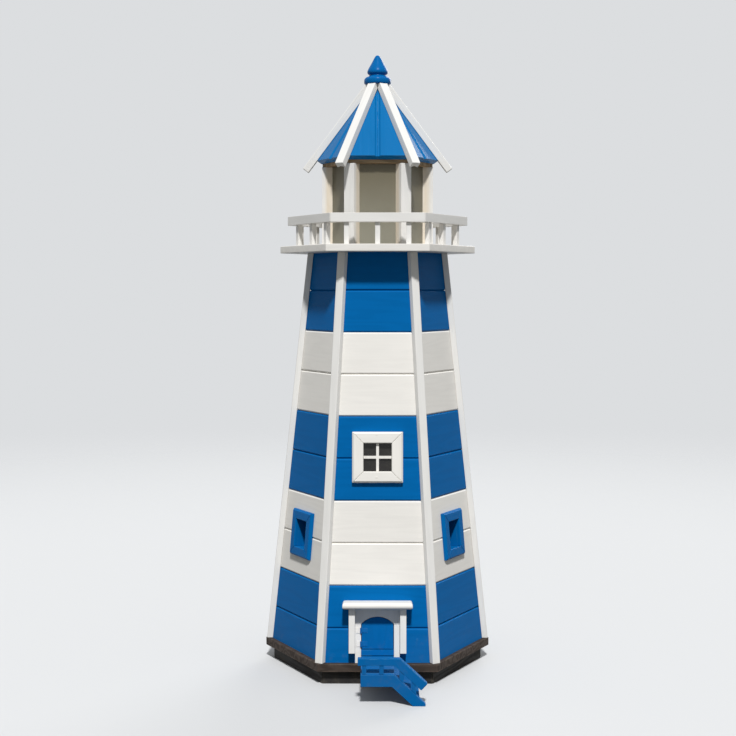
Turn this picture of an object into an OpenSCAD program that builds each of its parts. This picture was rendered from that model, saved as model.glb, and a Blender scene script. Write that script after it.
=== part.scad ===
// Garden lighthouse ornament: a six-sided tapered board tower with a gallery,
// a lit lantern room under a lift-off roof, and a hinged door behind a small stair.
// Millimetres, +Z up, origin on the tower axis at the ground, door towards -Y.

/* [Base] */
// How much longer the side of the base plate is than the side of the tower
plate_out = 12; // [8:1:40]
// Thickness of the base plate
plate_t = 18; // [12:1:30]
// Height of the black bearers under the base plate
plinth_h = 30; // [20:1:60]
// How far the bearers stand back from the edge of the base plate
plinth_inset = 16; // [5:1:40]
// Width of each bearer
plinth_w = 24; // [18:1:50]
// Width of the bearer under the middle of the base plate
centre_bearer_w = 80; // [40:1:100]

/* [Tower] */
// Height of the boarded tower from base plate to gallery
tower_h = 900; // [750:1:1200]
// Side of the boarded hexagon at the bottom
bottom_side = 250; // [225:1:310]
// Side of the boarded hexagon at the top
top_side = 152; // [140:1:185]
// Thickness of the wall boards
board_t = 12.5; // [10:0.5:16]
// Visible height of one wall board
board_cover = 92.5; // [75:0.5:120]
// Height of the lowest, trimmed wall board
first_cover = 75; // [50:1:95]
// Chamfer along the board edges
board_chamfer = 3; // [1:0.5:4]
// Width of the white corner battens
batten_w = 19; // [17:1:28]
// How far the corner battens stand out from the board corner
batten_out = 9; // [5:1:14]
// Width of the bars of the inner frames
frame_w = 20; // [14:1:26]
// Height of the bars of the inner frames
frame_h = 25; // [16:1:40]
// Height of the middle inner frame above the base plate
middle_frame_up = 390; // [376:1:500]

/* [Front window] */
// Outer size of the white window frame
window_size = 112; // [90:1:130]
// Width of the window frame bars
window_bar_w = 25; // [14:1:32]
// Thickness of the window frame
window_t = 13; // [8:1:20]
// Height of the window centre above the base plate
window_z = 448; // [380:1:520]
// Width of the glazing bars
muntin_w = 6; // [4:0.5:12]

/* [Side windows] */
// Outer width of the blue side window frames
side_window_w = 94; // [80:1:120]
// Outer height of the blue side window frames
side_window_h = 106; // [84:1:126]
// Width of the side window frame bars
side_bar_w = 22; // [10:1:24]
// Thickness of the side window frames
side_window_t = 9; // [8:1:20]
// Height of the side window centres above the base plate
side_window_z = 262; // [200:1:330]
// How far the side windows sit back from the middle of their walls
side_window_back = 5; // [0:1:12]
// Depth of the boxed reveal behind each side window
reveal_depth = 34; // [24:1:60]

/* [Porch and door] */
// Width of the door opening
door_w = 72; // [60:1:84]
// Height of the door opening's crown above the base plate
door_top = 101; // [85:1:125]
// Height of the top of the door sill above the base plate
sill_z = 30; // [26:1:40]
// Rise of the door arch
arch_rise = 16; // [8:1:28]
// Width of the white legs of the arch panel
arch_leg_w = 13; // [10:1:20]
// Thickness of the arch panel
arch_t = 5; // [4:0.5:7]
// Height of the underside of the porch canopy above the crown of the door
canopy_up = 21; // [12:1:40]
// How far the porch canopy runs past each porch post
canopy_side = 13.3; // [4:0.1:25]
// Thickness of the porch canopy
canopy_t = 14; // [12:1:30]
// How far the porch canopy stands out
canopy_out = 44; // [32:1:60]
// Width of the porch posts
porch_post_w = 13.5; // [10:0.5:18]
// Depth of the porch posts
porch_post_d = 25; // [18:1:32]
// Height of the foot of the porch posts above the base plate
porch_post_z = 24; // [10:1:40]
// Thickness of the door leaf
door_t = 8; // [6:0.5:9]
// Clearance round the door leaf
door_gap = 1.2; // [1:0.1:2]

/* [Stair] */
// Length of the level part of the handrail along the wall
landing_l = 89; // [70:1:110]
// How far the landing starts short of the left end of the handrail
landing_in = 6; // [0:1:12]
// Distance from the middle of the door to the knee of the handrail
rail_knee = 47.5; // [30:1:70]
// Width of the stair from the front of the base plate
stair_w = 142; // [90:1:180]
// How far the landing lies below the top of the door sill
landing_drop = 12; // [5:1:20]
// Thickness of the stair boards
stair_t = 12; // [8:1:16]
// Height of the level part of the stringers
stringer_h = 25; // [20:1:34]
// Width of the sloping part of the stringers
stringer_w = 21.5; // [16:0.5:26]
// How far the flight starts before the end of the handrail's level part
flight_lead = 13; // [8:1:30]
// Height of the handrail above the landing
handrail_z = 33.5; // [24:0.5:60]
// Height of the level part of the handrail
handrail_h = 14; // [10:1:20]
// Width of the sloping part of the handrail
handrail_w = 19; // [12:1:22]
// Height of the handrail's lower end
handrail_foot = 47; // [30:1:60]
// Number of treads below the landing
tread_count = 3; // [2:1:4]
// Thickness of the treads
tread_t = 7; // [5:1:10]
// Depth of the treads
tread_d = 22; // [16:1:26]
// Width of the square stair balusters
stair_baluster_w = 9; // [6:1:11]

/* [Gallery] */
// Side of the gallery deck
deck_side = 225; // [187:1:270]
// Thickness of the gallery deck
deck_t = 16; // [12:1:24]
// How far the outer edge of the handrail stands back from the deck edge
rail_inset = 17; // [10:1:24]
// Width of the gallery handrail
rail_w = 24; // [16:1:34]
// Thickness of the gallery handrail
rail_t = 20; // [12:1:26]
// Height of the balusters
baluster_h = 48; // [36:1:80]
// Width of the square balusters
baluster_w = 11; // [8:1:16]
// Spacing of the three balusters on each side
baluster_pitch = 68; // [50:1:70]

/* [Lantern] */
// Radius to the outer face of the lantern posts
lantern_r = 127.4; // [118:0.1:135]
// Width of the square lantern posts
post_w = 26; // [20:1:30]
// Height of the lantern posts
post_h = 181; // [150:1:240]
// Thickness of the acrylic panes
pane_t = 3; // [2:0.5:5]
// Depth of the pane grooves in the posts
groove_d = 4; // [3:0.5:6]
// How far the panes' outer face stands out from the inner corners of the posts
pane_set = 8; // [6:0.5:14]
// Height of the head rails between the posts
head_h = 25; // [15:1:35]
// Thickness of the head rails
head_t = 12; // [8:1:15]
// Diameter of the lamp holder
holder_d = 42; // [36:1:50]
// Height of the lamp holder
holder_h = 46; // [40:1:60]
// Diameter of the bulb
bulb_d = 60; // [45:1:80]
// Diameter of the lead
lead_d = 6.6; // [5:0.2:8]

/* [Roof] */
// How far the eaves stand out past the corners of the lantern posts
eave_out = 7.15; // [4:0.05:20]
// Height of the roof planes from eaves to their meeting point
roof_rise = 191; // [160:1:230]
// Thickness of the roof boards
roof_t = 14; // [10:0.5:16]
// Width of the flat strip at the bottom of the joint between the boards of one roof side
roof_joint_w = 7; // [2:0.5:10]
// Width of the white hip battens
hip_w = 20; // [14:1:28]
// How far the hip battens stand out from the roof corner
hip_out = 12; // [8:1:16]
// How far the hip battens run past the eaves
hip_over = 32; // [15:1:45]
// Thickness of the roof base board
roof_base_t = 11; // [8:1:13]
// How far below the meeting point of the roof planes the finial sits
finial_drop = 17; // [14:1:26]
// Radius of the finial's collar
finial_r = 31; // [26:1:44]
// Height of the finial above its seat
finial_h = 66; // [56:1:90]
// Diameter of the finial dowel
dowel_d = 8; // [6:0.5:9]

/* [Hidden] */
$fn = 48;
SIDES = 6;
TURN = 360 / SIDES;
fit = 0.2;                 // joint between two pieces that are screwed or glued together
fit_slope = 0.3;           // the same where sloping faces meet
far = 1500;                // longer than anything cut with it

base_top = plinth_h + plate_t;
deck_z = base_top + tower_h;
deck_top = deck_z + deck_t;
post_top = deck_top + post_h;

plate_side = bottom_side + plate_out;
plate_front = plate_side * cos(30);
bearer_gap = 1;            // between the centre bearer and the ring of bearers

bottom_apothem = bottom_side * cos(30);
top_apothem = top_side * cos(30);
wall_lean = atan((bottom_apothem - top_apothem) / tower_h);
corner_lean = atan((bottom_side - top_side) / tower_h);
wall_len = tower_h / cos(wall_lean);
corner_len = tower_h / cos(corner_lean);
wall_back = tan(30) * cos(corner_lean);   // slope of a face beside its corner line
board_end = board_t * wall_back + fit_slope;
course_count = 1 + round((tower_h - first_cover) / board_cover);
band = 2;                  // boards of one colour in each stripe
batten_spare = 20;         // trimmed off each end of a corner batten
middle_frame_z = base_top + middle_frame_up;
door_frame_gap = 6;        // between the door opening and the cut bottom frame

front = 0;
right_front = 1;
rear = 3;
left_front = 5;

door_half = door_w / 2;
sill_s = sill_z / cos(wall_lean);
door_top_s = door_top / cos(wall_lean);
arch_r = (door_half * door_half + arch_rise * arch_rise) / (2 * arch_rise);
arch_panel_half = door_half + arch_leg_w;
sill_t = 12;
canopy_z = door_top + canopy_up;
canopy_w = 2 * (arch_panel_half + fit + porch_post_w + canopy_side);
canopy_end_r = 5;
door_front = -4;           // outer face of the leaf, ahead of the boards
hinge_r = 2.2;             // hinge knuckle
hinge_pin_r = 1;
hinge_bore_r = 1.08;
hinge_gap = 0.3;           // between the knuckles, and behind them
hinge_y = -arch_t - hinge_r - hinge_gap;
hinge_x = -door_half;
hinge_plate_t = 0.8;
hinge_plate_w = 8.6;
hinge_plate_x = 1.9;       // from the pin's axis to the edge of each plate
hinge_arm = 2.4;           // thickness of the arm from knuckle to leaf
hinge_knuckle_h = 5;
hinge_outer_h = 3;
hinge_heights = [sill_s + 12, door_top_s - arch_rise - 14];

window_s = window_z / cos(wall_lean);
side_window_s = side_window_z / cos(wall_lean);
window_open = window_size - 2 * window_bar_w;
pane_rebate = 5;           // how far the pane runs behind the frame
window_cut = window_open + 2 * pane_rebate;
muntin_t = 4;
muntin_back = 1;           // between the glazing bars and the board face
frame_chamfer = 4;         // along the outer edge of a frame bar
moulding_edge = 1.5;       // arris along the inner edge of a frame bar
side_open_w = side_window_w - 2 * side_bar_w;
side_open_h = side_window_h - 2 * side_bar_w;
reveal_t = 5;
side_cut_w = side_open_w + 2 * reveal_t + 2 * fit;
side_cut_h = side_open_h + 2 * reveal_t + 2 * fit;
glass_t = 3;

sill_gap = 0.5;            // between the door sill and the plane of the base plate's edge
sill_out = (plate_front - bottom_apothem + (sill_s - sill_t) * sin(wall_lean)) / cos(wall_lean)
    - sill_gap;
stair_back = -plate_front - fit_slope;
stair_front = stair_back - stair_w;
landing_z = base_top + sill_z - landing_drop;
handrail_x = rail_knee - landing_l;
landing_x = handrail_x + landing_in;
flight_knee = rail_knee - flight_lead;
toe_h = 5;                 // upright cut at the foot of the stringers
stair_fall = 43;           // slope of the flight in degrees
tread_rise = landing_z / (tread_count + 1);
handrail_t = stair_t + 4;
landing_balusters = [3, 39];   // from the left end of the landing
flight_balusters = [-2, 24];   // from the knee of the handrail

rail_side = deck_side - rail_inset;
rail_apothem = rail_side * cos(30);
baluster_apothem = rail_apothem - rail_w / 2;
rail_z = deck_top + baluster_h;
deck_screw_r = 2.2;
deck_screw_gap = 0.1;
deck_screw_x = 30;         // from the middle of each side
deck_screw_in = 2;         // inwards from the middle of the top frame's bars
screw_head_r = 4.4;
screw_head_h = 2.2;

post_in = lantern_r - post_w;
pane_out = post_in * cos(30) + pane_set;
pane_top = post_top - fit;
head_out = pane_out - pane_t - fit;
head_in = head_out - head_t;

socket_d = 27.4;
cap_d = 26.4;
socket_depth = 30;
holder_flange_d = holder_d + 14;
holder_flange_t = 5;
bulb_neck_h = 33;
lead_hole_d = 12;
lead_off = 12;             // from the inside of the rear boards to the lead
lead_room = 3;             // added to the lead's diameter where it passes a frame
lead_low = 190;
lead_high = deck_z - 98;
clip_w = 16;
clip_h = 8;
clip_room = 0.8;
clip_heights = [250, wall_len - 284, wall_len - 114];
gland_s = 70;
gland_d = 16;
gland_bore = 7;
gland_in = 9;              // how far the gland reaches inside the boards
gland_nut_d = 24;
gland_nut_t = 5;
gland_cap_d = 19;
gland_cap_l = 14;
gland_z = base_top + gland_s * cos(wall_lean) - (board_t + gland_in) * sin(wall_lean);
gland_y = wall_apothem(base_top + gland_s * cos(wall_lean))
    - (board_t + gland_in) * cos(wall_lean);
lead_route = [
    [0, 0, deck_top], [0, 0, deck_top - 30], [0, 3, deck_top - 42], [0, 12, deck_top - 54],
    [0, 30, deck_top - 66], [0, lead_y(lead_high) - 46, deck_top - 80],
    [0, lead_y(lead_high) - 22, deck_top - 88], [0, lead_y(lead_high) - 6, deck_top - 98],
    [0, lead_y(lead_high), lead_high - 4], [0, lead_y(lead_low), lead_low],
    [0, gland_y - 20, gland_z + 34], [0, gland_y - 18, gland_z + 16],
    [0, gland_y - 14, gland_z + 5], before_gland(7), before_gland(fit_slope)
];

post_corner = lantern_r * cos(30) + post_w / 2 * sin(30);
roof_gap = 0.65;           // between the post corners and the underside of the roof
roof_apothem = post_corner + eave_out;
roof_side = roof_apothem / cos(30);
roof_lean = atan(roof_apothem / roof_rise);
hip_lean = atan(roof_side / roof_rise);
roof_len = norm([roof_apothem, roof_rise]);
hip_len = norm([roof_side, roof_rise]);
hip_back = tan(30) * cos(hip_lean);
hip_edge = roof_t * hip_back + fit_slope;
roof_inner_drop = roof_t / sin(roof_lean);     // height between outer and inner roof faces
eave_z = post_top + roof_inner_drop - roof_rise * (1 - (post_corner + roof_gap) / roof_apothem);
finial_z = eave_z + roof_rise - finial_drop;
roof_board_top = finial_z - 12;
roof_base_z = post_top + fit;
locator_t = 9;
locator_h = 15;
locator_w = 40;
locator_gap = 2;
bulb_room = 10;            // round the bulb in the hole of the roof base board
apex_block_top = finial_z - 32;
apex_block_h = 36;

plate_dark = [0.20, 0.16, 0.13];
black = [0.08, 0.08, 0.09];
blue = [0.05, 0.38, 0.66];
white = [0.93, 0.92, 0.89];
wood = [0.75, 0.62, 0.45];
frosted = [0.78, 0.78, 0.72, 0.6];
glass_dark = [0.18, 0.18, 0.17];
brass = [0.70, 0.58, 0.32];

function half_side(s) = (bottom_side - (bottom_side - top_side) * s / wall_len) / 2;
function wall_apothem(z) = bottom_apothem - (z - base_top) * tan(wall_lean);
function course_s(i) = i <= 0 ? 0
    : i >= course_count ? wall_len
    : (first_cover + (i - 1) * board_cover) / cos(wall_lean);
function is_blue(i) = floor(i / band) % 2 == 0;
function roof_inner(z) = (eave_z + roof_rise - roof_inner_drop - z) * tan(roof_lean);
function lead_y(z) = wall_apothem(z) - board_t - lead_off;
function before_gland(d) = [0, gland_y - d * cos(wall_lean), gland_z - d * sin(wall_lean)];

// ---------- shared shapes ----------

module hexagon(side) {
    circle(r = side, $fn = SIDES);
}

// Frame of wall k: x along the wall, z up its slope, y from the board face inwards
module on_wall(k) {
    rotate([0, 0, TURN * k])
        translate([0, -bottom_apothem, base_top])
            rotate([-wall_lean, 0, 0])
                children();
}

// Frame of roof side k, laid out the same way from the eaves up
module on_roof(k) {
    rotate([0, 0, TURN * k])
        translate([0, -roof_apothem, eave_z])
            rotate([-roof_lean, 0, 0])
                children();
}

// Draws a side view (y across, z up) along x
module along_x(len) {
    rotate([90, 0, 90])
        linear_extrude(len, center = true)
            children();
}

// Draws a front view (x across, z up) from y = y0 to y = y1
module along_y(y0, y1) {
    translate([0, y1, 0])
        rotate([90, 0, 0])
            linear_extrude(y1 - y0)
                children();
}

// One mitred bar of a hexagonal ring, on side k, from height z
module ring_bar(k, side, width, z, height) {
    half_out = side / 2 - fit;
    half_in = half_out - width * tan(30);
    apothem = side * cos(30);
    rotate([0, 0, TURN * k])
        translate([0, 0, z])
            linear_extrude(height)
                polygon([
                    [-half_out, -apothem], [half_out, -apothem],
                    [half_in, -apothem + width], [-half_in, -apothem + width]
                ]);
}

module hex_ring(side, width, z, height) {
    for (k = [0 : SIDES - 1])
        ring_bar(k, side, width, z, height);
}

// ---------- base ----------

module plinth_bars() {
    color(black)
        hex_ring(plate_side - plinth_inset / cos(30), plinth_w, 0, plinth_h - fit);
}

module centre_bearer() {
    reach = plate_front - plinth_inset - plinth_w - bearer_gap;
    color(black)
        translate([-reach, -centre_bearer_w / 2, 0])
            cube([2 * reach, centre_bearer_w, plinth_h - fit]);
}

module base_plate() {
    color(plate_dark)
        translate([0, 0, plinth_h])
            linear_extrude(plate_t)
                hexagon(plate_side);
}

// ---------- tower walls ----------

// Side view of board i: chamfered joints, level cuts at the base plate and the deck
module board_profile(i) {
    s0 = course_s(i) + fit / 2;
    s1 = course_s(i + 1) - fit / 2;
    c = board_chamfer;
    step = board_t * tan(wall_lean);
    low = i == 0 ? [[0, s0], [board_t, s0 + step]] : [[0, s0 + c], [c, s0], [board_t, s0]];
    top = i == course_count - 1
        ? [[board_t, s1 + step], [0, s1]]
        : [[board_t, s1], [c, s1], [0, s1 - c]];
    polygon(concat(low, top));
}

module board(i) {
    s0 = course_s(i) - 1;
    s1 = course_s(i + 1) + 3;
    intersection() {
        along_x(2 * bottom_side)
            board_profile(i);
        along_y(-1, board_t + 1)
            polygon([
                [-half_side(s0) + board_end, s0], [half_side(s0) - board_end, s0],
                [half_side(s1) - board_end, s1], [-half_side(s1) + board_end, s1]
            ]);
    }
}

// Door outline: straight jambs under a segmental arch, drawn in by gap
module door_outline(bottom, gap) {
    half = door_half - gap;
    r = arch_r - gap;
    centre = door_top_s - arch_r;
    spring = centre + sqrt(r * r - half * half);
    translate([-half, bottom])
        square([2 * half, spring - bottom]);
    intersection() {
        translate([-half, spring - 1])
            square([2 * half, arch_rise + 2]);
        translate([0, centre])
            circle(r = r, $fn = 96);
    }
}

// Middle of a side window along its wall, further from the front wall than the wall's own middle
function side_window_x(k) = k == right_front ? side_window_back : -side_window_back;

// What is cut out of the boards of wall k
module wall_openings(k) {
    if (k == front) {
        along_y(-1, board_t + 1)
            door_outline(sill_s - sill_t - fit, 0);
        translate([0, 0, window_s])
            cube([window_cut, far, window_cut], center = true);
    }
    if (k == left_front || k == right_front)
        translate([side_window_x(k), 0, side_window_s])
            cube([side_cut_w, far / 4, side_cut_h], center = true);
    if (k == rear)
        translate([0, 0, gland_s])
            rotate([90, 0, 0])
                cylinder(d = gland_d + 2 * fit, h = far / 4, center = true);
}

module wall_boards(k, want_blue) {
    on_wall(k)
        difference() {
            for (i = [0 : course_count - 1])
                if (is_blue(i) == want_blue)
                    board(i);
            wall_openings(k);
        }
}

module blue_boards(k) {
    color(blue)
        wall_boards(k, true);
}

module white_boards(k) {
    color(white)
        wall_boards(k, false);
}

// Batten with a V-cut back, lying on the corner line between two sloping faces
module v_batten(width, out, back, length) {
    half = width / 2;
    linear_extrude(length)
        polygon([
            [out, half], [fit_slope - half * back, half], [fit_slope, 0],
            [fit_slope - half * back, -half], [out, -half]
        ]);
}

module corner_batten(k) {
    color(white)
        intersection() {
            rotate([0, 0, TURN * k - TURN])
                translate([bottom_side, 0, base_top])
                    rotate([0, -corner_lean, 0])
                        translate([0, 0, -batten_spare])
                            v_batten(batten_w, batten_out, wall_back, corner_len + 2 * batten_spare);
            translate([-far / 2, -far / 2, base_top + fit])
                cube([far, far, tower_h - 2 * fit]);
        }
}

// Inner frame whose bars touch the boards at height z + frame_h
module inner_frame(z) {
    apothem = wall_apothem(z + frame_h) - board_t / cos(wall_lean) - fit_slope;
    hex_ring(apothem / cos(30), frame_w, z, frame_h);
}

module bottom_frame() {
    color(wood)
        difference() {
            inner_frame(base_top + fit);
            on_wall(front)
                along_y(-1, board_t + 2 * frame_w)
                    translate([-door_half - door_frame_gap, -frame_h])
                        square([door_w + 2 * door_frame_gap, 3 * frame_h]);
        }
}

module middle_frame() {
    color(wood)
        difference() {
            inner_frame(middle_frame_z);
            lead_passage();
        }
}

module top_frame() {
    color(wood)
        inner_frame(deck_z - frame_h - fit);
}

// ---------- windows ----------

// One mitred bar along the lower edge of a frame of the given outer size
module frame_bar(width, height, bar_w, thick) {
    low = -height / 2;
    high = low + bar_w;
    intersection() {
        along_x(width)
            polygon([
                [-fit, low], [-thick + frame_chamfer, low], [-thick, low + frame_chamfer],
                [-thick, high - moulding_edge], [-thick + moulding_edge, high], [-fit, high]
            ]);
        along_y(-thick - 1, 1)
            polygon([
                [-width / 2 + fit, low], [width / 2 - fit, low],
                [width / 2 - bar_w - fit, low + bar_w], [-width / 2 + bar_w + fit, low + bar_w]
            ]);
    }
}

module mitred_frame(width, height, bar_w, thick) {
    for (turn = [0, 180])
        rotate([0, turn, 0])
            frame_bar(width, height, bar_w, thick);
    for (turn = [90, 270])
        rotate([0, turn, 0])
            frame_bar(height, width, bar_w, thick);
}

module front_window_frame() {
    color(white)
        on_wall(front)
            translate([0, 0, window_s])
                mitred_frame(window_size, window_size, window_bar_w, window_t);
}

module front_window_muntins() {
    span = window_open - 2 * fit;
    color(white)
        on_wall(front)
            translate([0, -muntin_back - muntin_t / 2, window_s]) {
                cube([muntin_w, muntin_t, span], center = true);
                cube([span, muntin_t, muntin_w], center = true);
            }
}

module front_window_pane() {
    size = window_cut - 2 * fit;
    color(glass_dark)
        on_wall(front)
            translate([0, glass_t / 2 + fit, window_s])
                cube([size, glass_t, size], center = true);
}

module side_window_frames() {
    color(blue)
        for (k = [left_front, right_front])
            on_wall(k)
                translate([side_window_x(k), 0, side_window_s])
                    mitred_frame(side_window_w, side_window_h, side_bar_w, side_window_t);
}

// Four boards boxing the hole in the wall behind each side window frame
module side_window_reveals() {
    w = side_open_w;
    h = side_open_h;
    color(blue)
        for (k = [left_front, right_front])
            on_wall(k)
                translate([side_window_x(k), 0, side_window_s]) {
                    for (s = [-1, 1]) {
                        translate([s * (w + reveal_t) / 2, reveal_depth / 2, 0])
                            cube([reveal_t, reveal_depth, h - 2 * fit], center = true);
                        translate([0, reveal_depth / 2, s * (h + reveal_t) / 2])
                            cube([w + 2 * reveal_t, reveal_depth, reveal_t], center = true);
                    }
                }
}

module side_window_panes() {
    color(glass_dark)
        for (k = [left_front, right_front])
            on_wall(k)
                translate([side_window_x(k), reveal_depth - glass_t, side_window_s])
                    cube([side_open_w - 2 * fit, glass_t, side_open_h - 4 * fit], center = true);
}

// ---------- porch and door ----------

module arch_panel() {
    color(white)
        on_wall(front)
            difference() {
                along_y(-arch_t, -fit)
                    translate([-arch_panel_half, fit])
                        square([2 * arch_panel_half, canopy_z - 2 * fit]);
                along_y(-arch_t - 1, 1)
                    door_outline(-1, 0);
            }
}

module porch_posts() {
    color(white)
        on_wall(front)
            for (s = [-1, 1])
                translate([
                    s * (arch_panel_half + porch_post_w / 2 + fit) - porch_post_w / 2,
                    -porch_post_d, porch_post_z
                ])
                    cube([porch_post_w, porch_post_d - fit, canopy_z - porch_post_z - fit]);
}

// Board with a rounded front edge and rounded ends
module porch_canopy() {
    r = canopy_t / 2;
    end_r = canopy_end_r;
    color(white)
        on_wall(front)
            intersection() {
                along_x(canopy_w)
                    union() {
                        translate([-canopy_out + r, canopy_z])
                            square([canopy_out - r - fit, canopy_t]);
                        translate([-canopy_out + r, canopy_z + r])
                            circle(r = r);
                    }
                along_y(-canopy_out - 1, 1)
                    union() {
                        translate([-canopy_w / 2 + end_r, canopy_z - 1])
                            square([canopy_w - 2 * end_r, canopy_t + 2]);
                        translate([-canopy_w / 2, canopy_z + end_r])
                            square([canopy_w, canopy_t - 2 * end_r]);
                        for (s = [-1, 1])
                            for (z = [end_r, canopy_t - end_r])
                                translate([s * (canopy_w / 2 - end_r), canopy_z + z])
                                    circle(r = end_r);
                    }
            }
}

module door_sill() {
    color(blue)
        on_wall(front)
            translate([-door_half + fit, -sill_out, sill_s - sill_t])
                cube([door_w - 2 * fit, board_t + sill_out, sill_t]);
}

module door_leaf() {
    color(blue)
        on_wall(front)
            along_y(door_front, door_front + door_t)
                door_outline(sill_s + door_gap, door_gap);
}

module hinge_barrel(z, height) {
    translate([hinge_x, hinge_y, z])
        cylinder(r = hinge_r, h = height);
}

// Hinge half on the leaf: plate and middle knuckle, bored for the pin
module door_hinge_leaves() {
    color(brass)
        on_wall(front)
            for (z = hinge_heights)
                difference() {
                    union() {
                        hinge_barrel(z - hinge_knuckle_h / 2, hinge_knuckle_h);
                        translate([hinge_x, hinge_y, z - hinge_knuckle_h / 2])
                            cube([hinge_arm, door_front - hinge_y - fit, hinge_knuckle_h]);
                        translate([
                            hinge_x + hinge_plate_x, door_front - fit - hinge_plate_t,
                            z - hinge_knuckle_h
                        ])
                            cube([1.4 * hinge_plate_w, hinge_plate_t, 2 * hinge_knuckle_h]);
                    }
                    translate([hinge_x, hinge_y, z - hinge_knuckle_h])
                        cylinder(r = hinge_bore_r, h = 2 * hinge_knuckle_h);
                }
}

// Hinge half on the arch panel: plate, two outer knuckles and the pin
module door_hinge_pins() {
    half = hinge_knuckle_h / 2 + hinge_gap;
    outer = hinge_outer_h;
    reach = half + outer;
    color(brass)
        on_wall(front)
            for (z = hinge_heights) {
                translate([hinge_x, hinge_y, z - reach])
                    cylinder(r = hinge_pin_r, h = 2 * reach);
                translate([
                    hinge_x - hinge_plate_x - hinge_plate_w,
                    -arch_t - fit - hinge_plate_t, z - reach
                ])
                    cube([hinge_plate_w, hinge_plate_t, 2 * reach]);
                for (z0 = [z - reach, z + half]) {
                    hinge_barrel(z0, outer);
                    translate([hinge_x - hinge_r, hinge_y, z0])
                        cube([hinge_arm / 2, -arch_t - fit - hinge_y, outer]);
                }
            }
}

// ---------- stair ----------

// Front view of a bar that runs level from x = start to x = knee and then down at the
// fall angle; end holds the lower corners of its sloping part
module flight_outline(start, knee, top, level_h, slope_w, end) {
    polygon(concat(
        [[start, top], [knee, top]], end,
        [
            [knee - slope_w / sin(stair_fall) + level_h / tan(stair_fall), top - level_h],
            [start, top - level_h]
        ]
    ));
}

module stair_stringers() {
    foot = flight_knee + (landing_z - toe_h) / tan(stair_fall);
    heel = flight_knee + landing_z / tan(stair_fall) - stringer_w / sin(stair_fall);
    color(blue)
        for (y = [stair_front, stair_back - stair_t])
            along_y(y, y + stair_t)
                flight_outline(landing_x, flight_knee, landing_z, stringer_h, stringer_w,
                    [[foot, toe_h], [foot, 0], [heel, 0]]);
}

module stair_landing() {
    color(blue)
        translate([landing_x, stair_front + stair_t + fit, landing_z - stair_t])
            cube([flight_knee - landing_x, stair_w - 2 * stair_t - 2 * fit, stair_t]);
}

module stair_treads() {
    color(blue)
        for (i = [1 : tread_count])
            translate([
                flight_knee + i * tread_rise / tan(stair_fall) - tread_d,
                stair_front + stair_t + fit, landing_z - i * tread_rise - tread_t
            ])
                cube([tread_d, stair_w - 2 * stair_t - 2 * fit, tread_t]);
}

module stair_handrail() {
    top = landing_z + handrail_z;
    x = rail_knee + (top - handrail_foot) / tan(stair_fall);
    color(blue)
        along_y(stair_front, stair_front + handrail_t)
            flight_outline(handrail_x, rail_knee, top, handrail_h, handrail_w, [
                [x, handrail_foot],
                [x - handrail_w * sin(stair_fall), handrail_foot - handrail_w * cos(stair_fall)]
            ]);
}

// Two upright balusters on the landing, two between the sloping bars
module stair_balusters() {
    w = stair_baluster_w;
    rail_under = landing_z + handrail_z - handrail_h;
    slope = tan(stair_fall);
    low = landing_z + flight_knee * slope + fit;
    high = landing_z + handrail_z + rail_knee * slope - handrail_w / cos(stair_fall) - fit;
    color(blue)
        along_y(stair_front + 1, stair_front + 1 + w) {
            for (x = landing_balusters)
                translate([landing_x + x, landing_z + fit])
                    square([w, rail_under - landing_z - 2 * fit]);
            for (x = [for (dx = flight_balusters) rail_knee + dx])
                polygon([
                    [x, low - x * slope], [x + w, low - (x + w) * slope],
                    [x + w, high - (x + w) * slope], [x, high - x * slope]
                ]);
        }
}

// ---------- gallery ----------

module deck_screw_places() {
    apothem = wall_apothem(deck_z) - board_t - frame_w / 2 - deck_screw_in;
    for (k = [0 : SIDES - 1])
        rotate([0, 0, TURN * k])
            translate([deck_screw_x, -apothem, 0])
                children();
}

module gallery_deck() {
    color(white)
        difference() {
            translate([0, 0, deck_z])
                linear_extrude(deck_t)
                    hexagon(deck_side);
            translate([0, 0, deck_z - 1])
                cylinder(d = lead_hole_d, h = deck_t + 2);
            deck_screw_places()
                translate([0, 0, deck_z - 1])
                    cylinder(r = deck_screw_r + deck_screw_gap, h = deck_t + 2);
        }
}

module deck_screws() {
    color(brass)
        deck_screw_places() {
            translate([0, 0, deck_z + fit])
                cylinder(r = deck_screw_r, h = deck_t);
            translate([0, 0, deck_top + fit])
                cylinder(r1 = screw_head_r, r2 = 0.7 * screw_head_r, h = screw_head_h);
        }
}

module gallery_balusters() {
    color(white)
        for (k = [0 : SIDES - 1])
            rotate([0, 0, TURN * k])
                for (j = [-1 : 1])
                    translate([
                        j * baluster_pitch - baluster_w / 2, -baluster_apothem - baluster_w / 2,
                        deck_top + fit
                    ])
                        cube([baluster_w, baluster_w, baluster_h - 2 * fit]);
}

module gallery_rail() {
    color(white)
        hex_ring(rail_side, rail_w, rail_z, rail_t);
}

// ---------- lantern ----------

// Pane of side k, up to z = top, with its edges in the grooves of the posts
module pane(k, extra, top) {
    half = (pane_out / 2 - post_w / 2) / cos(30) + groove_d;
    rotate([0, 0, TURN * k])
        translate([-half - extra, -pane_out - extra, deck_top + fit - extra])
            cube([2 * (half + extra), pane_t + 2 * extra, top - deck_top - fit + extra]);
}

module lantern_panes() {
    color(frosted)
        for (k = [0 : SIDES - 1])
            pane(k, 0, pane_top);
}

module lantern_posts() {
    color(white)
        difference() {
            for (k = [0 : SIDES - 1])
                rotate([0, 0, TURN * k])
                    translate([post_in, -post_w / 2, deck_top + fit])
                        cube([post_w, post_w, post_h - fit]);
            for (k = [0 : SIDES - 1])
                pane(k, fit, post_top + 1);
        }
}

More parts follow.
